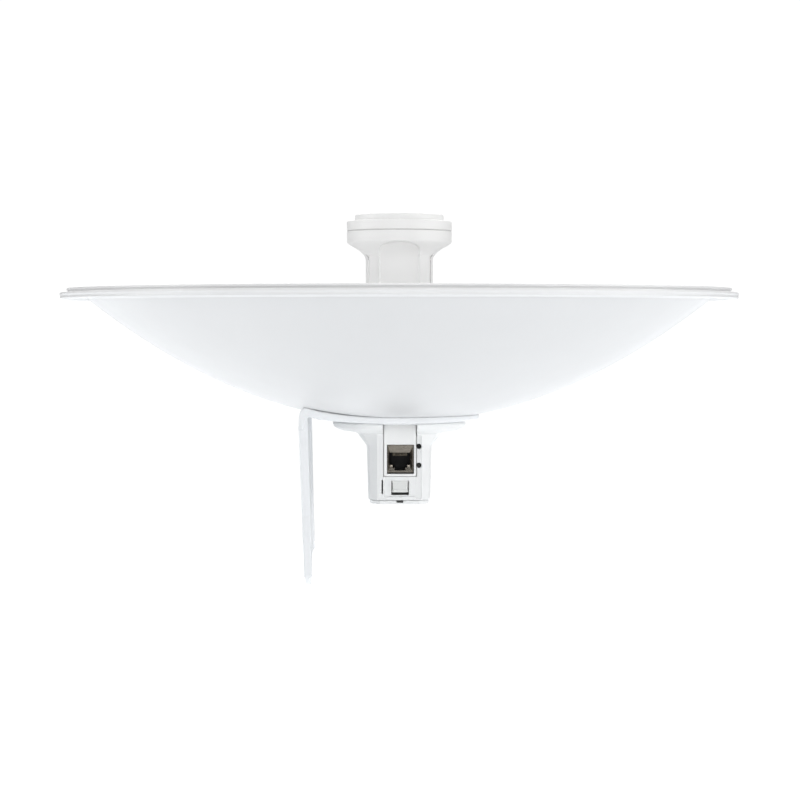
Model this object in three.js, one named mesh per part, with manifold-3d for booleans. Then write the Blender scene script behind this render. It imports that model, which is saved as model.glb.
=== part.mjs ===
// Outdoor wireless bridge: a parabolic dish reflector with its radio feed, rear housing and mounting bracket.
// Millimetres, +Z along the direction the dish looks. The working coordinates put the dish axis at x = y = 0
// and the underside of the rim flange at z = 0; the exported group moves the origin to the face of the
// bracket's leg that lies against the pole clamp.
import * as THREE from 'three';
import { mergeVertices } from 'three/addons/utils/BufferGeometryUtils.js';
import Module from 'manifold-3d';

const wasm = await Module();
wasm.setup();

// ---------------------------------------------------------------- driving dimensions (mm)
const DISH_R = 210;                 // outer radius of the rim
const DISH_K = 0.0020549;           // outer surface z = DISH_Z0 + DISH_K r^2 (focal length 122 mm)
const DISH_Z0 = -76.08;
const DISH_T = 1.4;                 // sheet thickness
const HUB_R = 36;                   // radius of the flat hub
const HUB_Z = -73.5;                // outer (rear) face of the hub
const HUB_HOLE_R = 22;
const RIM_EDGE_H = 4.65;            // height of the rolled edge
const BEAD_R = 205.75;              // ring bead on the rim
const BEAD_TOP = 7.05;

const GAP = 0.3;                    // running clearance between neighbouring pieces

const PLATE_T = 2.6;                // bracket sheet
const PLATE_R = 48.3;               // round end of the bracket plate
const PLATE_X = 1.5;                // its centre, a little off the dish axis
const PLATE_HALF_W = 44.5;          // half width at the bend
const LEG_T = 2.8;
const LEG_TILT = THREE.MathUtils.degToRad(1.75);
const LEG_TOP = [-60.8, -80];       // x, z of a point on the leg's outer face
const LEG_W = 35;                   // half width of the leg's lower part
const PIVOT = [-6.7, -38.5];           // pivot hole, y and height in the leg's own plane
const PIVOT_R = 4.25;
const SLOT_R = 46;                  // arc slot, mean radius about the pivot
const SLOT_HALF = 4.25;
const LEG_END_R = 59.2;              // rounded end of the leg about the pivot
const ORIGIN = [LEG_TOP[0] + 60 * Math.tan(LEG_TILT), 0, LEG_TOP[1] - 60];

const SCREW_PCD = 31.4;               // radius of the four hub screws
const COLLAR_R = 41.7;
const COLLAR_TOP = -76.7;
const BARREL_HALF = 20.3;           // half width of the rear housing's barrel
const BARREL_FRONT = -19;
const BARREL_WALL = 2.3;
const BARREL_BOTTOM = -123.8;
const WINDOW = [-10.1, 11.0, -109.2];  // x range and lower edge of the socket window
const HOLE_X = 12.2;                // reset and light holes beside the window
const RESET_Z = -90.5;
const LIGHT_Z = -102.2;

const TAIL_HALF = 16.2;             // feed body inside the housing
const TAIL_FRONT = -16.4;
const TAIL_BOTTOM = -110.2;
const NECK_HALF = 20.9;             // feed body in front of the dish, rear shell
const NECK_FRONT_HALF = 18.3;       // front shell
const NECK_FRONT = -20;
const PART_Y = -6;                  // plane where the two feed shells meet
const FLANGE_R = 27;
const HEAD_R = 32.75;
const HEAD_TOP = 42.9;

const JACK = [-7.25, 8.65, -106.65, -89.85]; // x range, z range of the network socket's shell
const JACK_CAVITY = [-5.66, 6.4, -102.2, -94.6];
const JACK_NOTCH = [-2.9, 3.64, -105.3];

// ---------------------------------------------------------------- solid helpers
function meshArrays(geometry) {
  const g = geometry.index ? geometry.toNonIndexed() : geometry.clone();
  for (const name of Object.keys(g.attributes)) if (name !== 'position') g.deleteAttribute(name);
  const merged = mergeVertices(g, 1e-4);
  const src = merged.index.array;
  const tri = [];
  for (let i = 0; i < src.length; i += 3) {
    const a = src[i], b = src[i + 1], c = src[i + 2];
    if (a !== b && b !== c && a !== c) tri.push(a, b, c);
  }
  const p = new Float32Array(merged.attributes.position.array);
  let volume = 0;
  const v = (i) => new THREE.Vector3(p[3 * i], p[3 * i + 1], p[3 * i + 2]);
  for (let i = 0; i < tri.length; i += 3) volume += v(tri[i]).dot(v(tri[i + 1]).cross(v(tri[i + 2])));
  if (volume < 0) for (let i = 0; i < tri.length; i += 3) [tri[i + 1], tri[i + 2]] = [tri[i + 2], tri[i + 1]];
  return { vertProperties: p, triVerts: new Uint32Array(tri) };
}
const solid = (geometry) => new wasm.Manifold(new wasm.Mesh({ numProp: 3, ...meshArrays(geometry) }));
const join = (first, ...rest) => rest.reduce((a, b) => a.add(b), first);
const cut = (first, ...rest) => rest.reduce((a, b) => a.subtract(b), first);

function geometryOf(manifold) {
  const m = manifold.getMesh();
  const n = m.numProp;
  const p = new Float32Array((m.vertProperties.length / n) * 3);
  for (let i = 0; i < p.length / 3; i++) for (let k = 0; k < 3; k++) p[3 * i + k] = m.vertProperties[i * n + k];
  const g = new THREE.BufferGeometry();
  g.setAttribute('position', new THREE.BufferAttribute(p, 3));
  g.setIndex(new THREE.BufferAttribute(new Uint32Array(m.triVerts), 1));
  g.computeVertexNormals();
  return g;
}

const boxGeo = (x0, x1, y0, y1, z0, z1) =>
  new THREE.BoxGeometry(x1 - x0, y1 - y0, z1 - z0).translate((x0 + x1) / 2, (y0 + y1) / 2, (z0 + z1) / 2);
const box = (...a) => solid(boxGeo(...a));
const shapeOf = (points) => new THREE.Shape(points.map(([x, y]) => new THREE.Vector2(x, y)));

// profile of [r, z] pairs turned about the Z axis
const latheGeo = (points, segments) =>
  new THREE.LatheGeometry([...points, points[0]].map(([r, z]) => new THREE.Vector2(r, z)), segments).rotateX(Math.PI / 2);
const lathe = (points, segments = 40) => solid(latheGeo(points, segments));

const extrudeZ = (points, z0, z1) =>
  solid(new THREE.ExtrudeGeometry(shapeOf(points), { depth: z1 - z0, bevelEnabled: false }).translate(0, 0, z0));
const extrudeY = (points, y0, y1) =>
  solid(new THREE.ExtrudeGeometry(shapeOf(points), { depth: y1 - y0, bevelEnabled: false }).rotateX(Math.PI / 2).translate(0, y1, 0));

// section held constant in outline while map(x, y, i) shifts each point at level zs[i]
function loft(points, zs, map) {
  const g = new THREE.ExtrudeGeometry(shapeOf(points), { depth: zs.length - 1, steps: zs.length - 1, bevelEnabled: false });
  const p = g.attributes.position;
  for (let k = 0; k < p.count; k++) {
    const i = Math.round(p.getZ(k));
    const [x, y] = map(p.getX(k), p.getY(k), i);
    p.setXYZ(k, x, y, zs[i]);
  }
  return solid(g);
}
const cylY = (x, z, r, y0, y1, segments = 20) =>
  solid(new THREE.CylinderGeometry(r, r, y1 - y0, segments).translate(x, (y0 + y1) / 2, z));
const cylZ = (x, y, r, z0, z1, segments = 20) =>
  solid(new THREE.CylinderGeometry(r, r, z1 - z0, segments).rotateX(Math.PI / 2).translate(x, y, (z0 + z1) / 2));

// ---------------------------------------------------------------- finishes
const finish = (color, roughness, metalness) => new THREE.MeshStandardMaterial({ color, roughness, metalness });
const POWDER_COAT = finish(0xf3f4f5, 0.42, 0.0);
const BRACKET_COAT = finish(0xe9edf1, 0.45, 0.0);
const WHITE_PLASTIC = finish(0xf4f4f3, 0.5, 0.0);
const STEEL = finish(0xb9bcc0, 0.3, 1.0);
const NICKEL = finish(0xa9a198, 0.32, 1.0);
const BLACK_PLASTIC = finish(0x17171a, 0.5, 0.0);
const GOLD = finish(0xd9ae5a, 0.25, 1.0);
const GREEN_BOARD = finish(0x1f5a3a, 0.55, 0.0);
const RUBBER = finish(0x3a3c3f, 0.8, 0.0);
const CLEAR = finish(0xdfe6e8, 0.15, 0.0);
const ALUMINIUM = finish(0xc9ccd0, 0.35, 1.0);
const GREY_PLASTIC = finish(0x55585c, 0.6, 0.0);

const object = new THREE.Group();
object.position.set(-ORIGIN[0], -ORIGIN[1], -ORIGIN[2]);
function piece(name, shape, material) {
  const mesh = new THREE.Mesh(shape.isBufferGeometry ? shape : geometryOf(shape), material);
  mesh.name = name;
  object.add(mesh);
}

// ---------------------------------------------------------------- dish reflector
const dishZ = (r) => DISH_Z0 + DISH_K * r * r;
const HUB_SCREWS = [45, 135, 225, 315].map((a) => {
  const t = THREE.MathUtils.degToRad(a);
  return [SCREW_PCD * Math.cos(t), SCREW_PCD * Math.sin(t)];
});
{
  const outer = [[HUB_HOLE_R, HUB_Z], [HUB_R, HUB_Z]];
  const inner = [[HUB_HOLE_R, HUB_Z + DISH_T], [HUB_R - 0.4, HUB_Z + DISH_T]];
  for (let i = 0; i <= 9; i++) {
    const r = 46 + (192.4 - 46) * (i / 9);
    const slope = 2 * DISH_K * r, s = Math.hypot(1, slope);
    outer.push([r, dishZ(r)]);
    inner.push([r - (DISH_T * slope) / s, dishZ(r) + DISH_T / s]);
  }
  const rim = [
    [195, 0], [207.5, 0], [209.6, 0.9], [210, 2.3], [209.2, 4.0], [207.6, RIM_EDGE_H],
    [207.3, 6.2], [BEAD_R, BEAD_TOP], [204.2, 6.2], [203.6, 3.2], [201.5, 1.5], [193.6, 1.5],
  ];
  let dish = lathe([...outer, ...rim, ...inner.reverse()], 64);
  for (const [x, y] of HUB_SCREWS) dish = dish.subtract(cylZ(x, y, 2.3, HUB_Z - 2, HUB_Z + 4, 12));
  piece('dish_reflector', dish, POWDER_COAT);
}

// ---------------------------------------------------------------- mounting bracket
{
  const top = (r) => (r < HUB_R ? HUB_Z : dishZ(r)) - GAP;
  const rs = [23, HUB_R, 44, 52, 61, 70, 78];
  const plateShell = lathe([...rs.map((r) => [r, top(r) - PLATE_T]), ...[...rs].reverse().map((r) => [r, top(r)])], 48);
  const underDish = lathe([...rs.map((r) => [r, top(r)]), [78, -210], [23, -210]], 48);

  const outline = (inset) => {
    const pts = [];
    const r = PLATE_R - inset;
    for (let i = 0; i <= 20; i++) {
      const a = THREE.MathUtils.degToRad(-95 + (190 * i) / 20);
      pts.push([PLATE_X + r * Math.cos(a), r * Math.sin(a)]);
    }
    return [...pts, [-60.4, PLATE_HALF_W - inset], [-60.4, -(PLATE_HALF_W - inset)]];
  };
  const plate = extrudeZ(outline(0), -95, -50).intersect(plateShell);
  const band = extrudeZ(outline(0), -95, -50).subtract(extrudeZ(outline(2.4), -96, -49));
  const lipRange = extrudeY([[-66, -70.6], [-53.7, -71.5], [-40, -73.7], [-22, -74.4], [-2, -74.2], [-2, -50], [-66, -50]], -60, 60);
  const plateLip = band.intersect(lipRange).intersect(underDish);

  // leg, first in its own plane: outer face x = 0, height 0 at LEG_TOP
  const place = (g) => g.rotateY(-LEG_TILT).translate(LEG_TOP[0], 0, LEG_TOP[1]);
  const inPlane = (points, holes, x0, x1) => {
    const shape = shapeOf(points);
    for (const h of holes) shape.holes.push(new THREE.Path(h.map(([a, b]) => new THREE.Vector2(a, b))));
    const g = new THREE.ExtrudeGeometry(shape, { depth: x1 - x0, bevelEnabled: false });
    const m = new THREE.Matrix4().makeBasis(new THREE.Vector3(0, 1, 0), new THREE.Vector3(0, 0, 1), new THREE.Vector3(1, 0, 0));
    return g.applyMatrix4(m).translate(x0, 0, 0);
  };
  const arc = (cy, cz, r, a0, a1, n) => {
    const pts = [];
    for (let i = 0; i <= n; i++) {
      const a = THREE.MathUtils.degToRad(a0 + ((a1 - a0) * i) / n);
      pts.push([cy + r * Math.sin(a), cz - r * Math.cos(a)]);
    }
    return pts;
  };
  const endAngle = (y) => THREE.MathUtils.radToDeg(Math.asin((y - PIVOT[0]) / LEG_END_R));
  const legOutline = [
    [-43.9, 20], [-43.3, 8], [-LEG_W, -52],
    ...arc(PIVOT[0], PIVOT[1], LEG_END_R, endAngle(-LEG_W + 1.5), endAngle(LEG_W - 1.5), 14),
    [LEG_W, -52], [43.3, 8], [43.9, 20],
  ];
  legOutline.splice(3, 0, [-LEG_W, PIVOT[1] - Math.sqrt(LEG_END_R ** 2 - (LEG_W + PIVOT[0]) ** 2) + 2]);
  legOutline.splice(legOutline.length - 3, 0, [LEG_W, PIVOT[1] - Math.sqrt(LEG_END_R ** 2 - (LEG_W - PIVOT[0]) ** 2) + 2]);
  const slot = [
    ...arc(PIVOT[0], PIVOT[1], SLOT_R + SLOT_HALF, -15, 30, 8),
    ...arc(PIVOT[0] + SLOT_R * Math.sin(Math.PI / 6), PIVOT[1] - SLOT_R * Math.cos(Math.PI / 6), SLOT_HALF, 60, 180, 4),
    ...arc(PIVOT[0], PIVOT[1], SLOT_R - SLOT_HALF, 30, -15, 8).slice(1),
    ...arc(PIVOT[0] + SLOT_R * Math.sin(-Math.PI / 12), PIVOT[1] - SLOT_R * Math.cos(-Math.PI / 12), SLOT_HALF, -195, -60, 4).slice(1),
  ];
  const pivotHole = [];
  for (let i = 0; i < 20; i++) pivotHole.push([PIVOT[0] + PIVOT_R * Math.cos((i * Math.PI) / 10), PIVOT[1] + PIVOT_R * Math.sin((i * Math.PI) / 10)]);
  const web = solid(place(inPlane(legOutline, [pivotHole, slot], 0, LEG_T)));

  const sideLip = (side, bottom, wide, narrow) => {
    const g = inPlane([
      [side * 43.9, 20], [side * 43.3, 8], [side * LEG_W, -52], [side * LEG_W, bottom], [side * (LEG_W - LEG_T), bottom],
      [side * (LEG_W - LEG_T), -52], [side * (43.3 - LEG_T), 8], [side * (43.9 - LEG_T), 20],
    ], [], 0, 1);
    const p = g.attributes.position;
    for (let i = 0; i < p.count; i++) if (p.getX(i) > 0.5) p.setX(i, wide + ((wide - narrow) * Math.min(0, p.getZ(i))) / 90);
    return solid(place(g));
  };
  const lipFoot = (y) => PIVOT[1] - Math.sqrt(LEG_END_R ** 2 - (y - PIVOT[0]) ** 2) + 0.5;
  const leg = join(web, sideLip(-1, lipFoot(-LEG_W), 5.35, 4.6), sideLip(1, lipFoot(LEG_W), 4.5, 4.1));
  const bendRound = extrudeY([
    [-55, -55], [-56.3, -64.6], [-58.1, -65.9], [-59.7, -67.9], [-60.6, -70.4], [-61.0, -73.6], [-61.5, -76],
    [-64, -200], [40, -200], [40, -55],
  ], -60, 60);
  const trimmedLeg = leg.intersect(underDish).intersect(bendRound);
  const cornerCut = extrudeY([
    [-70, -40], [-55, -55], [-56.3, -64.6], [-58.1, -65.9], [-59.7, -67.9], [-60.6, -70.4], [-61.0, -73.6], [-61.5, -76], [-70, -76],
  ], -60, 60);
  let bracket = join(plate, plateLip, trimmedLeg).subtract(cornerCut);
  for (const [x, y] of HUB_SCREWS) bracket = bracket.subtract(cylZ(x, y, 2.3, -80, -70, 12));
  piece('mount_bracket', bracket, BRACKET_COAT);
}

// ---------------------------------------------------------------- hub screws with washers
const HUB_FRONT = HUB_Z + DISH_T;
HUB_SCREWS.forEach(([x, y], i) => {
  piece(`hub_washer_${i + 1}`, latheGeo([[2.25, HUB_FRONT + 0.1], [4.0, HUB_FRONT + 0.1], [4.0, HUB_FRONT + 1.0], [2.25, HUB_FRONT + 1.0]], 16).translate(x, y, 0), STEEL);
  const h = HUB_FRONT + 1.1;
  let screw = lathe([[0, h], [2, h], [2, h - 8.8], [1.2, h - 9.6], [0, h - 9.6]], 12);
  const head = lathe([[0, h - 0.01], [3.7, h - 0.01], [3.7, h + 1.3], [3.0, h + 2.2], [0, h + 2.6]], 16);
  const cross = join(solid(boxGeo(-2.1, 2.1, -0.45, 0.45, h + 1.1, h + 4)), solid(boxGeo(-0.45, 0.45, -2.1, 2.1, h + 1.1, h + 4)));
  screw = join(screw, head).subtract(cross);
  piece(`hub_screw_${i + 1}`, geometryOf(screw).translate(x, y, 0), STEEL);
});

// ---------------------------------------------------------------- rear housing
const barrelSection = [
  [-13.8, -19], [13.8, -19], [18.8, -14.6], [20.3, -10.2], [20.3, 10.2], [18.8, 14.6], [13.8, 19],
  [-13.8, 19], [-18.8, 14.6], [-20.3, 10.2], [-20.3, -10.2], [-18.8, -14.6],
];
const cavitySection = [
  [-14.6, -16.7], [14.6, -16.7], [17, -12.6], [17, 12.6], [14.6, 16.7], [-14.6, 16.7], [-17, 12.6], [-17, -12.6],
];
{
  const levels = [[BARREL_BOTTOM, 19.2], [-119, 19.4], [-106.4, 19.7], [-90.7, 20.3], [-87.6, 22.5], [-82.5, 26.3], [-80, 27.6]];
  const barrel = loft(barrelSection, levels.map((l) => l[0]), (x, y, i) => {
    const flat = 13.8, k = (levels[i][1] - flat) / (BARREL_HALF - flat);
    return [Math.abs(x) <= flat ? x : Math.sign(x) * (flat + (Math.abs(x) - flat) * k), y];
  });
  const collar = lathe([
    [0, COLLAR_TOP], [40.8, COLLAR_TOP], [41.5, -77.0], [COLLAR_R, -77.4], [41.2, -78.4], [39.5, -79.8], [36.5, -81.0], [25.6, -82.6], [0, -82.8],
  ], 48);
  let housing = join(barrel, collar);
  housing = cut(housing,
    extrudeZ(cavitySection, -130, -70),
    box(WINDOW[0], WINDOW[1], -50, -16, WINDOW[2], -70),
    box(-9.6, 10.5, -20, -18.4, -121.6, -109.5),
    box(-4.9, 5.9, -20, -16, -120.6, -112.0),
    box(-10.9, -10.1, -20, -17.6, -119.9, -111.3),
    box(WINDOW[1] - 0.5, 13.6, -20, -18.5, -122.8, -84.0),
    cylY(HOLE_X, RESET_Z, 1.6, -25, -15, 16),
    cylY(HOLE_X, LIGHT_Z, 1.6, -25, -15, 16),
  );
  for (const [x, y] of HUB_SCREWS) housing = housing.subtract(cylZ(x, y, 2.25, -81.1, -70, 12));
  piece('rear_housing', housing, WHITE_PLASTIC);

  const flange = loft(barrelSection, [-126.5, -126.0, -124.05], (x, y, i) => {
    const k = [0.865, 0.888, 0.909][i], f = [0.93, 0.955, 0.965][i];
    return [x * k, y * f];
  });
  const plug = extrudeZ(cavitySection.map(([x, y]) => [x * 0.975, y * 0.975]), -124.2, -121.6);
  const pocket = extrudeZ(cavitySection.map(([x, y]) => [x * 0.85, y * 0.85]), -124.6, -121);
  piece('end_cap', cut(join(flange, plug), pocket, box(-1.7, 2.4, -19, -17.0, -125.0, -123.6)), WHITE_PLASTIC);

  piece('release_tab', join(box(-3.8, 4.7, -18.3, -16.75, -118.9, -112.35), box(-3.8, 4.7, -18.75, -18.2, -118.9, -117.6)), WHITE_PLASTIC);
}

// ---------------------------------------------------------------- feed shells
{
  const tailSection = [
    [-14.2, TAIL_FRONT], [14.2, TAIL_FRONT], [TAIL_HALF, -12.8], [TAIL_HALF, 12.8], [14.2, 16.4], [-14.2, 16.4], [-TAIL_HALF, 12.8], [-TAIL_HALF, -12.8],
  ];
  const neckSection = [
    [-12.6, NECK_FRONT], [12.6, NECK_FRONT], [18.3, -13.4], [NECK_HALF, -8], [NECK_HALF, 9], [18.3, 14.4], [12.6, 20],
    [-12.6, 20], [-18.3, 14.4], [-NECK_HALF, 9], [-NECK_HALF, -8], [-18.3, -13.4],
  ];
  const inset = (section, d) => section.map(([x, y]) => [x * (1 - d / 19), y * (1 - d / 19)]);
  const seat = HUB_FRONT + 1.3;
  const tail = extrudeZ(tailSection, TAIL_BOTTOM, seat + 1);
  const pad = box(-9.6, 10.1, -18.6, -16, -109.0, -75.4);
  const flange = lathe([[0, seat], [FLANGE_R - 0.8, seat], [FLANGE_R, seat + 0.8], [FLANGE_R, seat + 2], [FLANGE_R - 2, seat + 3], [0, seat + 3]], 40);
  const neck = extrudeZ(neckSection, seat + 2, 37);
  const flare = lathe([
    [0, 24], [20.2, 24.5], [21.0, 26.3], [22.9, 28.8], [24.2, 30.1], [25.7, 31.3], [27.9, 32.6], [29.9, 33.8], [31.8, 35.0], [32.7, 35.9],
    [HEAD_R, 36.2], [HEAD_R, HEAD_TOP - 0.3], [HEAD_R - 0.4, HEAD_TOP], [0, HEAD_TOP],
  ], 48);
  let body = join(tail, pad, flange, neck, flare);
  body = cut(body,
    extrudeZ(inset(tailSection, 2.3), TAIL_BOTTOM + 2.2, -60),
    extrudeZ(inset(neckSection, 2.4), seat + 3.4, 38),
    lathe([[0, 37.6], [26, 37.6], [30.2, 39.4], [30.2, 50], [0, 50]], 48),
  );
  // recessed front panel with an arched top, and its raised edge ridges
  body = body.subtract(extrudeY([
    [-12.1, seat + 6], [12.1, seat + 6], [12.1, 32.6], [10.6, 33.9], [8.2, 34.9], [4.4, 35.6], [0, 35.8],
    [-4.4, 35.6], [-8.2, 34.9], [-10.6, 33.9], [-12.1, 32.6],
  ], -45, -19.3));
  const ridge = (side) => box(side * 12.6 - 0.45, side * 12.6 + 0.45, -20.5, -18.5, seat + 6, 26);
  body = join(body, ridge(-1), ridge(1));
  const socketHole = box(JACK[0] - 0.35, JACK[1] + 0.35, -22, -12, JACK[2] - 0.35, JACK[3] + 0.35);
  body = cut(body, socketHole, cylY(HOLE_X, RESET_Z, 1.45, -22, -8, 16), cylY(HOLE_X, LIGHT_Z, 1.45, -22, -8, 16));

  const screwZ = [15, -62];
  const frontPosts = screwZ.map((z) => cylY(0, z, 3.4, -18.2, -1.0, 16));
  const rearPosts = screwZ.map((z) => cylY(0, z, 4.2, 2.2, 18.4, 16));
  const frontShell = cut(
    join(body.intersect(box(-60, 60, -60, PART_Y - 0.12, -150, 90)), ...frontPosts.map((p) => p.intersect(box(-9, 9, -19.3, -1.0, -150, 90)))),
    ...[-1, 1].map((s) => box(Math.min(s * NECK_FRONT_HALF, s * 30), Math.max(s * NECK_FRONT_HALF, s * 30), -13.2, PART_Y + 1, seat + 3.2, 25)),
    ...screwZ.map((z) => cylY(0, z, 1.25, -12, 0, 12)),
  );
  piece('feed_shell_front', frontShell, WHITE_PLASTIC);

  const latch = join(box(-7, 8, -10.5, -8.5, -119.4, TAIL_BOTTOM + 1), box(-7, 8, -13.4, -8.5, -119.4, -117.6));
  const rearBody = join(body.intersect(box(-60, 60, PART_Y + 0.12, 60, -150, 90)), ...rearPosts);
  const rearShell = cut(rearBody,
    ...screwZ.map((z) => cylY(0, z, 1.75, 0, 25, 12)),
    ...screwZ.map((z) => cylY(0, z, 3.3, 15.8, 25, 16)),
  );
  piece('feed_shell_rear', rearShell, WHITE_PLASTIC);
  piece('feed_latch', cut(latch, box(-60, 60, -60, 60, TAIL_BOTTOM - 0.12, -90)), WHITE_PLASTIC);

  screwZ.forEach((z, i) => {
    const shank = lathe([[0, -10], [0.6, -10], [1.1, -8.6], [1.1, 16.0], [0, 16.0]], 12);
    const head = lathe([[0, 15.9], [2.9, 15.9], [2.9, 17.2], [2.2, 18.0], [0, 18.2]], 20);
    const socket = join(box(-1.5, 1.5, -0.35, 0.35, 16.6, 20), box(-0.35, 0.35, -1.5, 1.5, 16.6, 20));
    const g = geometryOf(join(shank, head).subtract(socket)).rotateX(-Math.PI / 2).translate(0, 0.1, z);
    piece(`shell_screw_${i + 1}`, g, STEEL);
  });
  piece('hub_gasket', latheGeo([[22.4, HUB_FRONT + 0.1], [26.2, HUB_FRONT + 0.1], [26.2, seat - 0.1], [22.4, seat - 0.1]], 40), RUBBER);
}

// ---------------------------------------------------------------- feed head
piece('feed_cap', latheGeo([
  [0, 52.0], [25.4, 52.0], [25.6, 47.6], [30.2, 47.0], [30.2, 43.5], [32.35, 43.5], [HEAD_R, 43.8], [HEAD_R, 48.6], [32.3, 49.15],
  [27.9, 49.2], [27.7, 52.2], [27.2, 53.1], [26.2, 53.6], [0, 53.95],
], 48), WHITE_PLASTIC);
piece('cap_seal', latheGeo([[30.4, 43.0], [31.9, 43.0], [31.9, 43.4], [30.4, 43.4]], 40), RUBBER);
piece('sub_reflector', latheGeo([[0, 49.2], [24.9, 50.4], [24.9, 51.4], [0, 50.2]], 40), ALUMINIUM);
piece('radiator_board', latheGeo([[0, 40.2], [24, 40.2], [24, 41.6], [0, 41.6]], 32), GREEN_BOARD);
piece('radiator_patch', latheGeo([[0, 41.7], [1.4, 41.7], [1.4, 45.2], [10.5, 45.2], [10.5, 46.0], [0, 46.0]], 28), GOLD);
piece('radio_board', cut(box(-13.2, 13.2, 0, 1.6, -106.8, 33), cylY(0, 15, 2.4, -3, 4, 16), cylY(0, -62, 2.4, -3, 4, 16)), GREEN_BOARD);
piece('shield_can_front', cut(box(-11.5, 11.5, -4.0, -0.15, -52, -8), box(-11, 11, -3.5, 1, -51.5, -8.5)), STEEL);
piece('shield_can_rear', cut(box(-11.5, 11.5, 1.75, 4.8, -52, -8), box(-11, 11, 0, 4.3, -51.5, -8.5)), STEEL);
piece('line_transformer', box(-8, 8, -6.2, -0.15, -84, -71), BLACK_PLASTIC);

// ---------------------------------------------------------------- network socket, reset button and status light
{
  const [x0, x1, z0, z1] = JACK, [cx0, cx1, cz0, cz1] = JACK_CAVITY, [nx0, nx1, nz] = JACK_NOTCH;
  const opening = (y0, y1, d) => join(box(cx0 - d, cx1 + d, y0, y1, cz0 - d, cz1 + d), box(nx0 - d, nx1 + d, y0, y1, nz - d, cz0 + 1));
  piece('socket_shell', cut(box(x0, x1, -18.0, -2.2, z0, z1), box(x0 + 0.4, x1 - 0.4, -17.6, 0, z0 + 0.4, z1 - 0.4), opening(-19, -17, 0)), NICKEL);
  piece('socket_insert', cut(box(x0 + 0.55, x1 - 0.55, -17.5, -0.15, z0 + 0.55, z1 - 0.55), opening(-19, -4.6, 0)), BLACK_PLASTIC);
  let comb = box(-4.2, 4.94, -5.9, -4.75, -97.2, -94.75);
  for (let i = 0; i < 8; i++) {
    const x = 0.37 + (i - 3.5) * 1.02;
    const tine = solid(boxGeo(x - 0.22, x + 0.22, -7.6, 0, -0.16, 0.16).rotateX(0.2).translate(0, -5.0, -95.1));
    comb = comb.add(tine);
  }
  piece('socket_contacts', comb, GOLD);
  piece('reset_button', solid(latheGeo([[0, 0], [0.9, 0], [1.15, 0.3], [1.15, 10.2], [1.5, 10.3], [1.5, 11.0], [0, 11.0]], 18).rotateX(-Math.PI / 2).translate(HOLE_X, -16.2, RESET_Z)), GREY_PLASTIC);
  piece('reset_switch', box(9.6, 13.1, -4.2, -0.15, -92.4, -88.6), BLACK_PLASTIC);
  piece('status_light_pipe', solid(latheGeo([[0, 0], [0.9, 0], [1.15, 0.3], [1.15, 14.2], [0, 14.2]], 18).rotateX(-Math.PI / 2).translate(HOLE_X, -16.3, LIGHT_Z)), CLEAR);
  piece('status_led', box(11.0, 12.9, -1.7, -0.15, -103.1, -101.3), CLEAR);
}

export default object;
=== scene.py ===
"""Looks of the outdoor wireless bridge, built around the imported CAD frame.

Lengths in this file are millimetres in the dish's own coordinates (dish axis at x = y = 0, underside of the rim
flange at z = 0) and become metres in the row frame when a mesh is made, at the place that the CAD dish gives.
"""
import math

import bpy
import numpy as np
from mathutils import Matrix, Vector


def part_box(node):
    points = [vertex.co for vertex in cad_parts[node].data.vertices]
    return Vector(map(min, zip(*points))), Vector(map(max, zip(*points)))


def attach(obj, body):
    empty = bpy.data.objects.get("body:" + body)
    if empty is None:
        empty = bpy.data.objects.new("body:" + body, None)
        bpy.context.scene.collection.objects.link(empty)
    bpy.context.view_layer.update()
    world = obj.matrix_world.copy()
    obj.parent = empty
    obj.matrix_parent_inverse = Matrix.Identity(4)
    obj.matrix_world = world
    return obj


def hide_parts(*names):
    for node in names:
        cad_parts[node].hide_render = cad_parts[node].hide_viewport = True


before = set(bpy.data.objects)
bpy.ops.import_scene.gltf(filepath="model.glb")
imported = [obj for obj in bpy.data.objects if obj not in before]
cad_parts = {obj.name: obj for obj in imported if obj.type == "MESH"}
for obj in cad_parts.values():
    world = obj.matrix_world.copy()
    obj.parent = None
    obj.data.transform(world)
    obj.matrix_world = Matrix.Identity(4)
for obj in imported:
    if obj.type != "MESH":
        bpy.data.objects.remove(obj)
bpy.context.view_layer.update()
dish_lo, dish_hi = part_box("dish_reflector")
SHIFT = np.array([
    (dish_lo.x + dish_hi.x) * 500.0,
    (dish_lo.y + dish_hi.y) * 500.0,
    dish_hi.z * 1000.0 - 7.05,
])
COARSE = 1.0


def row(p):
    """Design millimetres to row-frame metres."""
    return (np.asarray(p, float) + SHIFT) / 1000.0


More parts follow.
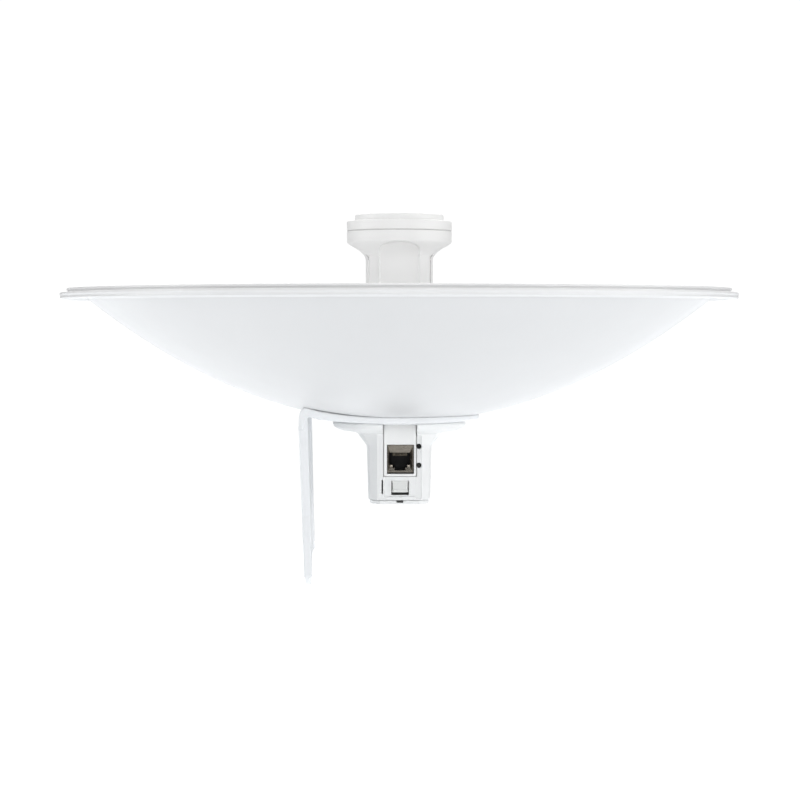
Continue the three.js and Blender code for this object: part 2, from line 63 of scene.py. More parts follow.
# ---------------------------------------------------------------- profiles
def rounded(pts, n=4):
    """[(u, v, radius)] closed outline to points and outward normals, counter-clockwise, with each corner of radius > 0 turned into an arc."""
    p = np.array([(a[0], a[1]) for a in pts], float)
    rad = np.array([a[2] if len(a) > 2 else 0.0 for a in pts], float)
    area = np.sum(p[:, 0] * np.roll(p[:, 1], -1) - np.roll(p[:, 0], -1) * p[:, 1])
    if area < 0:
        p, rad = p[::-1], rad[::-1]
    out, nrm = [], []
    m = len(p)
    for i in range(m):
        a, c, b = p[i - 1], p[i], p[(i + 1) % m]
        ua, ub = a - c, b - c
        la, lb = np.hypot(*ua), np.hypot(*ub)
        ua, ub = ua / la, ub / lb
        n0, n1 = np.array([-ua[1], ua[0]]), np.array([ub[1], -ub[0]])
        cosang = float(np.clip(ua @ ub, -1, 1))
        ang = math.acos(cosang)
        if rad[i] <= 0 or ang > math.radians(178.5):
            k = n0 + n1
            out.append(c)
            nrm.append(k / max(np.hypot(*k), 1e-9))
            continue
        t = min(rad[i] / math.tan(ang / 2), 0.46 * la, 0.46 * lb)
        r = t * math.tan(ang / 2)
        s, e = c + ua * t, c + ub * t
        mid = ua + ub
        centre = c + mid / np.hypot(*mid) * (r / math.sin(ang / 2))
        convex = (n0[0] * ub[0] + n0[1] * ub[1]) < 0
        a0 = math.atan2(*(s - centre)[::-1])
        a1 = math.atan2(*(e - centre)[::-1])
        d = (a1 - a0 + math.pi) % (2 * math.pi) - math.pi
        for k in range(n + 1):
            w = a0 + d * k / n
            q = np.array([math.cos(w), math.sin(w)])
            out.append(centre + q * r)
            nrm.append(q if convex else -q)
    return np.array(out), np.array(nrm)


def spline(pts, n):
    """A smooth curve through the points, n steps between each two."""
    p = np.array(pts, float)
    q = np.vstack([2 * p[0] - p[1], p, 2 * p[-1] - p[-2]])
    out = []
    for i in range(1, len(q) - 2):
        for k in range(n):
            t = k / n
            a, b, c, d = q[i - 1], q[i], q[i + 1], q[i + 2]
            out.append(0.5 * (2 * b + (c - a) * t + (2 * a - 5 * b + 4 * c - d) * t * t + (3 * b - a - 3 * c + d) * t ** 3))
    out.append(q[-2])
    return np.array(out)


# ---------------------------------------------------------------- mesh making
def make_object(name, verts, faces, normals=None, material=None):
    me = bpy.data.meshes.new(name)
    me.from_pydata([tuple(v) for v in verts], [], [tuple(int(i) for i in f) for f in faces])
    me.validate()
    me.update()
    me.polygons.foreach_set("use_smooth", np.ones(len(me.polygons), bool))
    if normals is not None and len(me.vertices) == len(normals):
        me.normals_split_custom_set_from_vertices([tuple(v) for v in normals])
    ob = bpy.data.objects.new(name, me)
    bpy.context.scene.collection.objects.link(ob)
    if material is not None:
        me.materials.append(material)
    return ob


def turned(name, pts, seg, material, centre=(0, 0), n=4, axis="z", flip=1.0):
    """A closed profile [(r, z, radius)] turned about an axis. Points at r = 0 close on the axis."""
    p, nr = rounded(pts, n)
    m = len(p)
    rings, verts, norms = [], [], []
    for (r, z), (a, b) in zip(p, nr):
        if r < 1e-6:
            rings.append([len(verts)])
            verts.append((0, 0, z))
            norms.append((0, 0, 1.0 if b > 0 else -1.0))
            continue
        rings.append(list(range(len(verts), len(verts) + seg)))
        for k in range(seg):
            t = 2 * math.pi * k / seg
            verts.append((r * math.cos(t), r * math.sin(t), z))
            norms.append((a * math.cos(t), a * math.sin(t), b))
    faces = []
    for i in range(m):
        A, B = rings[i], rings[(i + 1) % m]
        if len(A) == 1 and len(B) == 1:
            continue
        for k in range(seg):
            l = (k + 1) % seg
            if len(A) == 1:
                faces.append((A[0], B[l], B[k]))
            elif len(B) == 1:
                faces.append((A[k], A[l], B[0]))
            else:
                faces.append((A[k], A[l], B[l], B[k]))
    v, w = np.array(verts, float), np.array(norms, float)
    if axis == "y":   # the profile's z runs along +Y
        v, w = v[:, [0, 2, 1]] * [1, 1, -1], w[:, [0, 2, 1]] * [1, 1, -1]
        v += [centre[0], 0, centre[1]]
    else:
        v += [centre[0], centre[1], 0]
    return make_object(name, row(v), faces, w, material)


# ---------------------------------------------------------------- distance fields
EXACT = [False]


class Outline:
    """Signed distance to a closed outline, negative inside. A table stands in for it where a whole grid is read."""

    def __init__(self, pts, span=None, step=0.1):
        p = np.array([(a[0], a[1]) for a in pts], float)
        self.e = np.hstack([p, np.roll(p, -1, 0)])
        self.table = None
        if span is not None:
            u0, u1, v0, v1 = span
            self.u0, self.v0, self.step = u0, v0, step
            u = np.arange(u0, u1 + step, step, dtype=np.float32)
            v = np.arange(v0, v1 + step, step, dtype=np.float32)
            self.table = self.exact(u[:, None], v[None, :]).astype(np.float32)

    def exact(self, u, v):
        best, sign = None, 1.0
        for ax, ay, bx, by in self.e:
            ex, ey = bx - ax, by - ay
            wx, wy = u - ax, v - ay
            t = np.clip((wx * ex + wy * ey) / (ex * ex + ey * ey), 0, 1)
            d = (wx - ex * t) ** 2 + (wy - ey * t) ** 2
            best = d if best is None else np.minimum(best, d)
            c1, c2, c3 = v >= ay, v < by, ex * wy > ey * wx
            sign = np.where((c1 & c2 & c3) | (~c1 & ~c2 & ~c3), -sign, sign)
        return sign * np.sqrt(best)

    def __call__(self, u, v):
        if self.table is None or EXACT[0]:
            return self.exact(u, v)
        a = np.clip((u - self.u0) / self.step, 0, self.table.shape[0] - 1.001)
        b = np.clip((v - self.v0) / self.step, 0, self.table.shape[1] - 1.001)
        i, j = a.astype(np.int32), b.astype(np.int32)
        a, b = a - i, b - j
        t = self.table
        return (t[i, j] * (1 - a) + t[i + 1, j] * a) * (1 - b) + (t[i, j + 1] * (1 - a) + t[i + 1, j + 1] * a) * b


def union(a, b, r=0.0):
    if r <= 0:
        return np.minimum(a, b)
    return np.maximum(r, np.minimum(a, b)) - np.sqrt(np.maximum(r - a, 0) ** 2 + np.maximum(r - b, 0) ** 2)


def meet(a, b, r=0.0):
    if r <= 0:
        return np.maximum(a, b)
    return np.minimum(-r, np.maximum(a, b)) + np.sqrt(np.maximum(r + a, 0) ** 2 + np.maximum(r + b, 0) ** 2)


def cut(a, b, r=0.0):
    return meet(a, -b, r)


def slab(w, w0, w1):
    return np.abs(w - (w0 + w1) / 2) - (w1 - w0) / 2


def rbox(x, y, z, x0, x1, y0, y1, z0, z1, r=0.3):
    qx, qy, qz = slab(x, x0, x1) + r, slab(y, y0, y1) + r, slab(z, z0, z1) + r
    return (np.sqrt(np.maximum(qx, 0) ** 2 + np.maximum(qy, 0) ** 2 + np.maximum(qz, 0) ** 2)
            + np.minimum(np.maximum(np.maximum(qx, qy), qz), 0) - r)


def rod_y(x, y, z, cx, cz, radius, y0, y1, r=0.0):
    return meet(np.hypot(x - cx, z - cz) - radius, slab(y, y0, y1), r)


def rod_z(x, y, z, cx, cy, radius, z0, z1, r=0.0):
    return meet(np.hypot(x - cx, y - cy) - radius, slab(z, z0, z1), r)


def gradient(f, v, e=0.04):
    g = np.empty_like(v)
    for d in range(3):
        a, b = v.copy(), v.copy()
        a[:, d] += e
        b[:, d] -= e
        g[:, d] = (f(a[:, 0], a[:, 1], a[:, 2]) - f(b[:, 0], b[:, 1], b[:, 2])) / (2 * e)
    return g


def solid(name, f, lo, hi, h, material, keep=0.35, shift=(0, 0, 0)):
    """The zero surface of f as a mesh: one vertex in each grid cell that it crosses, moved onto the surface, then thinned out where it is flat."""
    h = h * COARSE
    B = 8
    lo, hi = np.array(lo, float) - 1.37 * h, np.array(hi, float) + 1.6 * h
    nb = np.ceil(((hi - lo) / h + 1) / B).astype(int)
    ax = [(lo[d] + h * np.arange(nb[d] * B)).astype(np.float32) for d in range(3)]
    mid = [a.reshape(-1, B).mean(1) for a in ax]
    EXACT[0] = False
    centre = np.broadcast_to(f(mid[0][:, None, None], mid[1][None, :, None], mid[2][None, None, :]), tuple(nb))
    F = np.empty((nb[0], B, nb[1], B, nb[2], B), np.float32)
    F[:] = centre[:, None, :, None, :, None]
    bi, bj, bk = np.nonzero(np.abs(centre) < 1.6 * B * h * 0.5 * math.sqrt(3))
    for s in range(0, len(bi), 2500):
        i, j, k = bi[s:s + 2500], bj[s:s + 2500], bk[s:s + 2500]
        X = ax[0].reshape(-1, B)[i][:, :, None, None]
        Y = ax[1].reshape(-1, B)[j][:, None, :, None]
        Z = ax[2].reshape(-1, B)[k][:, None, None, :]
        F[i, :, j, :, k, :] = np.broadcast_to(f(X, Y, Z), (len(i), B, B, B))
    F = F.reshape(nb[0] * B, nb[1] * B, nb[2] * B)
    s = F < 0
    c = s.astype(np.int8)
    n8 = sum(c[a:c.shape[0] - 1 + a, b:c.shape[1] - 1 + b, d:c.shape[2] - 1 + d] for a in (0, 1) for b in (0, 1) for d in (0, 1))
    act = (n8 > 0) & (n8 < 8)
    idx = np.full(act.shape, -1, np.int64)
    i, j, k = np.nonzero(act)
    idx[act] = np.arange(len(i))
    pos, num = np.zeros((len(i), 3)), np.zeros(len(i))
    corners = [(a, b, d) for a in (0, 1) for b in (0, 1) for d in (0, 1)]
    for a in corners:
        for d in range(3):
            if a[d]:
                continue
            b = tuple(a[q] + (q == d) for q in range(3))
            fa, fb = F[i + a[0], j + a[1], k + a[2]], F[i + b[0], j + b[1], k + b[2]]
            m = (fa < 0) != (fb < 0)
            t = np.where(m, fa / np.where(m, fa - fb, 1), 0)
            for q in range(3):
                pos[:, q] += m * (a[q] + t * (b[q] - a[q]))
            num += m
    v = lo + h * (pos / num[:, None] + np.stack([i, j, k], 1))
    quads = []
    for d in range(3):
        e, g = (d + 1) % 3, (d + 2) % 3
        n = s.shape
        sl0 = [slice(1, n[q] - 1) for q in range(3)]
        sl1 = list(sl0)
        sl0[d], sl1[d] = slice(0, n[d] - 1), slice(1, n[d])
        s0, s1 = s[tuple(sl0)], s[tuple(sl1)]
        p = np.argwhere(s0 != s1)
        inside_low = s0[tuple(p.T)]
        off = np.array([1, 1, 1])
        off[d] = 0
        p = p + off
        E, G = np.eye(3, dtype=int)[e], np.eye(3, dtype=int)[g]
        q = np.stack([idx[tuple((p - E - G).T)], idx[tuple((p - G).T)], idx[tuple(p.T)], idx[tuple((p - E).T)]], 1)
        q[~inside_low] = q[~inside_low][:, ::-1]
        quads.append(q)
    faces = np.vstack(quads)
    faces = faces[(faces >= 0).all(1)]
    EXACT[0] = True
    start = v.copy()
    for _ in range(2):
        d, g = f(v[:, 0], v[:, 1], v[:, 2]), gradient(f, v)
        v = v - (d / np.maximum((g * g).sum(1), 0.25))[:, None] * g
        v = start + np.clip(v - start, -0.7 * h, 0.7 * h)
    ob = make_object(name, v, faces, None, material)
    if keep < 1:
        mod = ob.modifiers.new("thin", "DECIMATE")
        mod.ratio = keep
        dg = bpy.context.evaluated_depsgraph_get()
        me = bpy.data.meshes.new_from_object(ob.evaluated_get(dg))
        ob.modifiers.clear()
        old, ob.data = ob.data, me
        bpy.data.meshes.remove(old)
        me.name = name
    me = ob.data
    w = np.empty(len(me.vertices) * 3)
    me.vertices.foreach_get("co", w)
    w = w.reshape(-1, 3)
    g = gradient(f, w, 0.03)
    EXACT[0] = False
    g /= np.maximum(np.linalg.norm(g, axis=1), 1e-6)[:, None]
    me.vertices.foreach_set("co", row(w + np.array(shift)).ravel())
    me.polygons.foreach_set("use_smooth", np.ones(len(me.polygons), bool))
    me.update()
    me.normals_split_custom_set_from_vertices([tuple(t) for t in g])
    return ob


def copy_of(ob, name, dx, dy, dz=0.0):
    me = ob.data.copy()
    me.name = name
    me.transform(Matrix.Translation((dx / 1000, dy / 1000, dz / 1000)))
    new = bpy.data.objects.new(name, me)
    bpy.context.scene.collection.objects.link(new)
    return new


def piece(ob, body, slot, *nodes):
    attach(ob, body)
    if nodes:
        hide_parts(*nodes)
    return ob


# ---------------------------------------------------------------- materials
class Nodes:
    def __init__(self, name):
        self.m = bpy.data.materials.new(name)
        self.m.use_nodes = True
        self.t = self.m.node_tree
        self.t.nodes.clear()
        self.out = self.t.nodes.new("ShaderNodeOutputMaterial")
        self.bsdf = self.t.nodes.new("ShaderNodeBsdfPrincipled")
        self.t.links.new(self.bsdf.outputs[0], self.out.inputs[0])
        self.co = self.t.nodes.new("ShaderNodeTexCoord").outputs["Object"]

    def node(self, kind, inputs=(), **props):
        n = self.t.nodes.new(kind)
        for k, v in props.items():
            setattr(n, k, v)
        for k, v in dict(inputs).items():
            if isinstance(v, bpy.types.NodeSocket):
                self.t.links.new(v, n.inputs[k])
            else:
                n.inputs[k].default_value = v
        return n

    def noise(self, scale, detail=2.0, rough=0.5, stretch=None):
        co = self.co
        if stretch is not None:
            co = self.node("ShaderNodeMapping", {"Vector": self.co, "Scale": stretch}).outputs[0]
        return self.node("ShaderNodeTexNoise", {"Vector": co, "Scale": scale, "Detail": detail, "Roughness": rough}).outputs[0]

    def range(self, value, lo, hi, a=0.3, b=0.7):
        return self.node("ShaderNodeMapRange", {"Value": value, "From Min": a, "From Max": b, "To Min": lo, "To Max": hi}).outputs[0]

    def mix(self, fac, c1, c2):
        n = self.node("ShaderNodeMix", data_type="RGBA")
        for k, v in ((0, fac), (6, c1), (7, c2)):
            if isinstance(v, bpy.types.NodeSocket):
                self.t.links.new(v, n.inputs[k])
            else:
                n.inputs[k].default_value = v if k == 0 else (*v, 1)
        return n.outputs[2]

    def bump(self, height, strength, distance, normal=None):
        inp = {"Height": height, "Strength": strength, "Distance": distance}
        if normal is not None:
            inp["Normal"] = normal
        return self.node("ShaderNodeBump", inp).outputs[0]

    def set(self, **values):
        names = {"color": "Base Color", "rough": "Roughness", "metal": "Metallic", "normal": "Normal", "coat": "Coat Weight",
                 "coat_rough": "Coat Roughness", "ior": "IOR", "spec": "Specular IOR Level", "trans": "Transmission Weight",
                 "aniso": "Anisotropic", "sss": "Subsurface Weight", "sss_scale": "Subsurface Scale"}
        for k, v in values.items():
            s = self.bsdf.inputs[names[k]]
            if isinstance(v, bpy.types.NodeSocket):
                self.t.links.new(v, s)
            else:
                s.default_value = (*v, 1) if k == "color" else v
        return self.m


def powder(name, light, dark, rough, peel=0.10, rim=None):
    """Powder-coated metal: a faint orange peel, fine grain, and slow changes of tone and gloss.

    rim, when given, is a lighter colour put on the dish's rolled edge, beyond a radius of about 203 mm; its tone was
    fitted to how bright that edge looks.
    """
    n = Nodes(name)
    tone = n.range(n.noise(9.0, 3.0), 0.0, 1.0, 0.35, 0.65)
    fine = n.noise(1400.0, 2.0)
    peeled = n.noise(420.0, 2.0, 0.45)
    speck = n.range(n.noise(2600.0, 1.0), 0.0, 0.35, 0.62, 0.75)
    base = n.mix(tone, light, dark)
    base = n.mix(speck, base, tuple(c * 0.94 for c in dark))
    # the dish's rolled edge, beyond a radius of about 203 mm, takes the lighter rim colour
    if rim:
        off = n.node("ShaderNodeVectorMath", {0: n.co, 1: (float(SHIFT[0]) / 1000, float(SHIFT[1]) / 1000, 0.0)}, operation="SUBTRACT").outputs[0]
        flat = n.node("ShaderNodeVectorMath", {0: off, 1: (1.0, 1.0, 0.0)}, operation="MULTIPLY").outputs[0]
        radius = n.node("ShaderNodeVectorMath", {0: flat}, operation="LENGTH").outputs["Value"]
        base = n.mix(n.range(radius, 0.0, 1.0, 0.2026, 0.2036), base, rim)
    normal = n.bump(peeled, peel, 0.00025)
    normal = n.bump(fine, peel * 0.7, 0.00008, normal)
    return n.set(color=base, rough=n.range(n.noise(60.0, 4.0), rough - 0.035, rough + 0.045), normal=normal,
                 coat=0.12, coat_rough=0.32, spec=0.5)


def moulded(name, light, dark, rough, grain=0.12, spec=0.5):
    """Moulded ASA or ABS: spark-eroded grain, faint flow tone."""
    n = Nodes(name)
    tone = n.range(n.noise(26.0, 2.0, stretch=(1.0, 1.0, 0.35)), 0.0, 1.0, 0.35, 0.65)
    fine = n.noise(2100.0, 3.0, 0.6)
    base = n.mix(tone, light, dark)
    base = n.mix(n.range(fine, 0.0, 0.25, 0.55, 0.8), base, tuple(c * 0.93 for c in dark))
    normal = n.bump(fine, grain, 0.00006)
    normal = n.bump(n.noise(650.0, 1.0), grain * 0.5, 0.00012, normal)
    return n.set(color=base, rough=n.range(n.noise(180.0, 3.0), rough - 0.05, rough + 0.06), normal=normal, spec=spec)


def metal(name, light, dark, rough, stretch=(1.0, 1.0, 1.0), scale=900.0, spots=0.0):
    n = Nodes(name)
    drawn = n.noise(scale, 3.0, 0.6, stretch)
    base = n.mix(n.range(drawn, 0.0, 1.0), light, dark)
    if spots:
        base = n.mix(n.range(n.noise(300.0, 4.0), 0.0, spots, 0.5, 0.75), base, tuple(c * 0.55 for c in dark))
    return n.set(color=base, metal=1.0, rough=n.range(n.noise(scale * 0.4, 2.0, 0.5, stretch), rough - 0.06, rough + 0.1),
                 normal=n.bump(drawn, 0.12, 0.00003))


# rim: a lighter colour for the dish's rolled edge, its tone fitted to how bright that edge looks
DISH = powder("dish_powder_coat", (0.697, 0.697, 0.700), (0.677, 0.678, 0.682), 0.38, rim=(0.79, 0.79, 0.793))
BRACKET = powder("bracket_powder_coat", (0.828, 0.838, 0.852), (0.808, 0.82, 0.835), 0.40, 0.12)
HOUSING = moulded("housing_plastic", (0.842, 0.845, 0.842), (0.822, 0.827, 0.824), 0.46)
FEED = moulded("feed_plastic", (0.895, 0.895, 0.888), (0.875, 0.875, 0.867), 0.44)
TAB = moulded("tab_plastic", (0.76, 0.765, 0.75), (0.74, 0.745, 0.73), 0.5)
STEEL = metal("stainless_steel", (0.66, 0.67, 0.68), (0.52, 0.53, 0.55), 0.30, (1.0, 1.0, 5.0), 1500.0)
ALU = metal("spun_aluminium", (0.80, 0.81, 0.82), (0.68, 0.69, 0.71), 0.30, (1.0, 1.0, 8.0), 700.0)
TIN = metal("tinned_steel", (0.70, 0.71, 0.72), (0.60, 0.61, 0.62), 0.36, (6.0, 1.0, 1.0), 500.0, 0.2)
# painted shade: the brownish tint is the shell's own, but the nickel is made far darker than bare nickel to stand in
# for the shade it sits in, recessed in the pad's window
NICKEL = metal("nickel_shell", (0.31, 0.28, 0.24), (0.20, 0.178, 0.15), 0.30, (1.0, 6.0, 1.0), 900.0, 0.35)
# painted shade: the gold is darkened to near black because the contacts sit in shade deep in the socket; the radiator
# patch shares this colour
GOLD = metal("gold_contacts", (0.072, 0.064, 0.05), (0.05, 0.044, 0.034), 0.28, (1.0, 5.0, 1.0), 1600.0, 0.15)
BLACK = moulded("black_plastic", (0.008, 0.008, 0.009), (0.005, 0.005, 0.006), 0.55, 0.2, 0.22)
GREY = moulded("grey_plastic", (0.010, 0.010, 0.011), (0.007, 0.007, 0.008), 0.55, 0.2, 0.2)


def rubber(name="seal_rubber", light=(0.055, 0.057, 0.06), dark=(0.035, 0.036, 0.038)):
    n = Nodes(name)
    fine = n.noise(1200.0, 4.0, 0.65)
    return n.set(color=n.mix(n.range(n.noise(90.0, 3.0), 0.0, 1.0), light, dark),
                 rough=n.range(fine, 0.68, 0.88), normal=n.bump(fine, 0.25, 0.00006))


def board():
    """Solder mask with copper tracks just showing under it."""
    n = Nodes("circuit_board")
    tracks = n.node("ShaderNodeTexVoronoi", {"Vector": n.node("ShaderNodeMapping", {"Vector": n.co, "Scale": (1.0, 0.02, 1.0)}).outputs[0], "Scale": 420.0},
                    feature="DISTANCE_TO_EDGE", distance="MANHATTAN").outputs["Distance"]
    line = n.range(tracks, 1.0, 0.0, 0.03, 0.06)
    base = n.mix(line, (0.012, 0.085, 0.04), (0.03, 0.16, 0.075))
    base = n.mix(n.range(n.noise(900.0, 2.0), 0.0, 0.3, 0.5, 0.75), base, (0.02, 0.06, 0.035))
    return n.set(color=base, rough=n.range(n.noise(400.0, 3.0), 0.34, 0.48), normal=n.bump(line, 0.3, 0.00004))


def clear():
    n = Nodes("clear_plastic")
    fine = n.noise(500.0, 3.0)
    return n.set(color=n.mix(n.range(fine, 0.0, 1.0), (0.62, 0.66, 0.66), (0.50, 0.55, 0.55)), rough=n.range(fine, 0.16, 0.3),
                 normal=n.bump(fine, 0.08, 0.00005), coat=0.3, coat_rough=0.1)


RUBBER, BOARD, CLEAR = rubber(), board(), clear()
SMOKE = moulded("smoked_plastic", (0.010, 0.011, 0.010), (0.007, 0.008, 0.007), 0.45, 0.05, 0.3)
SEAL = rubber("head_seal_silicone", (0.74, 0.74, 0.73), (0.69, 0.69, 0.685))

# ---------------------------------------------------------------- dish reflector
K, Z0, HUB_Z, DISH_T = 0.0020549, -76.08, -73.5, 1.4
HUB_FRONT = HUB_Z + DISH_T
SEAT = HUB_FRONT + 1.3


def dish_z(r):
    return Z0 + K * r * r


SCREWS = [(31.4 * math.cos(math.radians(a)), 31.4 * math.sin(math.radians(a))) for a in (45, 135, 225, 315)]
outer, inner = [], []
for i in range(53):
    r = 40.5 + (194.0 - 40.5) * i / 52
    s = math.hypot(1, 2 * K * r)
    outer.append((r, dish_z(r)))
    inner.append((r - DISH_T * 2 * K * r / s, dish_z(r) + DISH_T / s))
profile = ([(22.0, HUB_Z, 0.35), (28.0, HUB_Z), (35.6, HUB_Z, 7.0)] + outer
           + [(195.4, 0.0, 0.8), (208.4, 0.0, 1.2), (209.85, 1.0, 0.5), (209.35, 2.1, 1.2), (210.0, 3.3, 0.5), (209.5, 4.4, 0.7), (204.9, 4.5, 0.2), (204.9, 5.5, 0.2),
              (205.75, 5.75, 0.3), (205.6, 7.05, 0.9), (203.7, 7.05, 0.9), (203.3, 5.6, 1.0), (202.9, 2.6, 1.2), (201.4, 1.4, 0.8), (194.6, 1.4, 0.8)]
           + inner[:-1][::-1] + [(35.2, HUB_FRONT, 7.0), (28.0, HUB_FRONT), (22.0, HUB_FRONT, 0.35)])
dish = turned("reflector_dish", profile, 288, DISH)


def drill(ob, rods):
    """Cuts round holes through a flat part of a mesh."""
    import bmesh
    me = bpy.data.meshes.new("drill")
    bm = bmesh.new()
    for (x, y, z), radius, half, turn in rods:
        made = bmesh.ops.create_cone(bm, cap_ends=True, segments=40, radius1=radius / 1000, radius2=radius / 1000, depth=2 * half / 1000)["verts"]
        if turn:
            bmesh.ops.rotate(bm, verts=made, matrix=Matrix.Rotation(math.pi / 2, 3, "X"))
        bmesh.ops.translate(bm, verts=made, vec=Vector(row((x, y, z))))
    bm.to_mesh(me)
    bm.free()
    tool = bpy.data.objects.new("drill", me)
    bpy.context.scene.collection.objects.link(tool)
    mod = ob.modifiers.new("holes", "BOOLEAN")
    mod.operation, mod.solver, mod.object = "DIFFERENCE", "EXACT", tool
    dg = bpy.context.evaluated_depsgraph_get()
    new = bpy.data.meshes.new_from_object(ob.evaluated_get(dg), preserve_all_data_layers=True, depsgraph=dg)
    ob.modifiers.clear()
    old, ob.data = ob.data, new
    bpy.data.meshes.remove(old)
    new.name = ob.name
    bpy.data.objects.remove(tool)


drill(dish, [((x, y, HUB_Z + 0.7), 2.3, 4.0, False) for x, y in SCREWS])
piece(dish, "reflector", "dish_coat", "dish_reflector")

# ---------------------------------------------------------------- mounting bracket
PLATE_T, LEG_T, TILT = 2.6, 2.8, math.radians(1.75)
LEG_TOP = (-60.8, -80.0)
PIVOT = (-6.7, -38.5)
CT, ST = math.cos(TILT), math.sin(TILT)

arc_end = [(1.5 + 48.3 * math.cos(math.radians(a)), 48.3 * math.sin(math.radians(a))) for a in np.linspace(-95, 95, 41)]
plate_outline = Outline(arc_end + [(-60.4, 44.2), (-90.0, 42.6), (-90.0, -42.6), (-60.4, -44.2)], (-80, 56, -54, 54), 0.25)
END_R = 59.2
near_y, far_y = -35.0, 35.0
arc_pts = [(PIVOT[0] + END_R * math.sin(a), PIVOT[1] - END_R * math.cos(a))
           for a in np.linspace(math.asin((near_y + 1.0 - PIVOT[0]) / END_R), math.asin((far_y - 1.0 - PIVOT[0]) / END_R), 36)]
leg_pts = [(-44.6, 34.0), (-43.3, 8.0), (-35.0, -52.0), (-35.0, arc_pts[0][1] + 2.5)] + arc_pts + [
    (35.0, arc_pts[-1][1] + 2.5), (35.0, -52.0), (43.3, 8.0), (44.6, 34.0)]
leg_outline = Outline(leg_pts, (-56, 56, -104, 40), 0.25)


bend_curve = spline([(-52.0, -63.6), (-54.6, -64.2), (-56.4, -65.0), (-58.1, -66.3), (-59.6, -68.2), (-60.5, -70.6), (-61.0, -73.6), (-61.2, -77.0)], 4)
bend_outline = Outline([tuple(p) for p in bend_curve] + [(-75.0, -77.0), (-75.0, -50.0), (-52.0, -50.0)], (-66, 56, -182, -58), 0.2)


def bracket_field(x, y, z):
    r = np.hypot(x, y)
    top = np.maximum(HUB_Z, dish_z(r)) - 0.3 - 0.42 * np.interp(x, [-61, -57, -50, -34, -8], [-0.4, 0.0, 1.0, 0.9, 0.0]) * np.clip((r - 42.5) / 5.0, 0, 1)
    slope = np.where(r > 35.4, 1 / np.sqrt(1 + (2 * K * r) ** 2), 1.0)
    t = (z - top) * slope
    lx = (x - LEG_TOP[0]) * CT + (z - LEG_TOP[1]) * ST
    lz = -(x - LEG_TOP[0]) * ST + (z - LEG_TOP[1]) * CT
    hull = cut(meet(t, -lx, 2.0), bend_outline(x, z), 0.8)
    sheet = np.maximum(hull, -meet(t + PLATE_T, LEG_T - lx, 3.0))
    dp = plate_outline(x, y)
    plate = meet(meet(sheet, dp, 0.8), -(z + 79.0))
    plate = cut(plate, r - 23.0, 0.5)
    for sx, sy in SCREWS:
        plate = cut(plate, np.hypot(x - sx, y - sy) - 2.3, 0.3)
    low = np.interp(x, [-66, -53.7, -40, -30, -20, -8, 14, 26, 36, 60], [-70.6, -71.5, -73.7, -74.3, -74.85, -75.15, -75.15, -74.6, -73.2, -70.0])
    lip = meet(np.maximum(dp, -(dp + 2.5)), low - z, 0.9)
    lip = meet(lip, hull, 0.8)
    plate = union(plate, lip, 1.3)

    half = np.interp(lz, [-104, -52, 8, 34], [35.0, 35.0, 43.3, 44.6])
    side = (np.abs(y) - half) * 0.99
    dl = leg_outline(y, lz)
    leg = meet(sheet, dl, 0.8)
    rho = np.hypot(y - PIVOT[0], lz - PIVOT[1])
    ang = np.arctan2(y - PIVOT[0], PIVOT[1] - lz)
    slot = np.abs(rho - 46.0)
    for a in (math.radians(-15), math.radians(30)):
        end = np.hypot(y - PIVOT[0] - 46.0 * math.sin(a), lz - PIVOT[1] + 46.0 * math.cos(a))
        slot = np.where(ang < a if a < 0 else ang > a, end, slot)
    leg = cut(leg, slot - 4.25, 0.5)
    leg = cut(leg, rho - 4.25, 0.5)
    down = np.minimum(0, lz) / 90
    depth = np.where(y < 0, 5.35 + 0.75 * down, 4.5 + 0.4 * down)
    foot = np.where(y < 0, -90.0, -80.0)
    wall = np.maximum(side, -(side + LEG_T))
    wall = meet(meet(wall, lx - depth, 0.9), foot - lz, 0.9)
    wall = meet(wall, hull, 0.8)
    leg = union(leg, wall, 1.4)
    leg = np.maximum(leg, x + 48.0)
    return union(plate, leg, 0.8)


bracket = solid("bracket_pressing", bracket_field, (-63, -49, -178.5), (51, 49, -62), 0.55, BRACKET, 0.4)
piece(bracket, "reflector", "bracket_coat", "mount_bracket")

# ---------------------------------------------------------------- hub screws and washers
SCREW_H = HUB_FRONT + 1.1


def screw_field(x, y, z):
    r = np.hypot(x, y)
    h = SCREW_H
    thread = 0.16 * np.abs(((z / 0.8 + np.arctan2(y, x) / (2 * math.pi)) % 1.0) - 0.5) * 2
    shank = meet(r - 2.0 + np.where(z < h - 1.6, thread, 0), slab(z, h - 9.4, h + 0.3), 0.3)
    shank = np.maximum(shank, (r * 0.8 + (h - 9.6 - z) * 0.6) - 1.2)
    dome = np.sqrt(r * r + (z - (h - 1.55)) ** 2) - 4.15
    head = meet(meet(r - 3.7, h - z, 0.25), dome, 0.5)
    d = union(shank, head)
    w = 0.42 + 0.06 * (z - h)
    star = np.minimum(np.maximum(np.abs(x) - 2.0 - 0.15 * (z - h - 1), np.abs(y) - w), np.maximum(np.abs(y) - 2.0 - 0.15 * (z - h - 1), np.abs(x) - w))
    return cut(d, np.maximum(star, h + 1.0 - z), 0.12)


first = solid("hub_screw_steel_1", screw_field, (-3.8, -3.8, SCREW_H - 9.8), (3.8, 3.8, SCREW_H + 2.7), 0.2, STEEL, 0.45, (*SCREWS[0], 0))
hub_screws = [first] + [copy_of(first, f"hub_screw_steel_{i + 1}", SCREWS[i][0] - SCREWS[0][0], SCREWS[i][1] - SCREWS[0][1]) for i in (1, 2, 3)]
for i, ob in enumerate(hub_screws):
    piece(ob, "reflector", "steel", f"hub_screw_{i + 1}")
    washer = turned(f"hub_washer_ring_{i + 1}", [(2.25, HUB_FRONT + 0.08, 0.15), (4.0, HUB_FRONT + 0.08, 0.2), (4.0, HUB_FRONT + 1.0, 0.25), (2.25, HUB_FRONT + 1.0, 0.15)], 48, STEEL, SCREWS[i])
    piece(washer, "reflector", "steel", f"hub_washer_{i + 1}")

